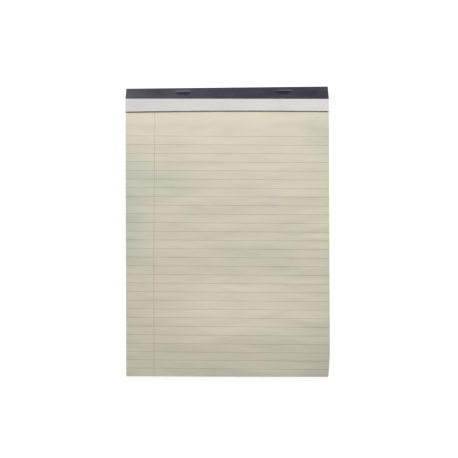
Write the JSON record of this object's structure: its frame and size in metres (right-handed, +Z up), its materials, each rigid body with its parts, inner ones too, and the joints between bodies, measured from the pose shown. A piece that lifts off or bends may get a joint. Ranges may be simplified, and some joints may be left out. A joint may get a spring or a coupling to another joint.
{
  "type": "legal pad",
  "caption": "Top-bound pad of ruled paper with folded binding tape, torn-off stubs at a perforated head, wire staples and a stiff backing board.",
  "frame": {"origin": "under the middle of the pad, at its lowest points, the staple bumps in the tape's back flap", "axes": "+X across the pad to the reader's right, +Y along it towards the bound head, +Z up out of the ruled face"},
  "size_m": [0.21, 0.298, 0.0077],
  "materials": {
    "chipboard": "matte",
    "ruled_paper": "matte",
    "stub_paper": "matte",
    "cover_paper": "matte",
    "tape_cloth": "satin",
    "staple_wire": "satin"
  },
  "bodies": {
    "root": {"backing_board": "chipboard", "ruled_sheets": "ruled_paper", "torn_stubs": "stub_paper", "cover_stub": "cover_paper", "binding_tape": "tape_cloth", "staple_left": "staple_wire", "staple_right": "staple_wire"}
  },
  "joints": []
}
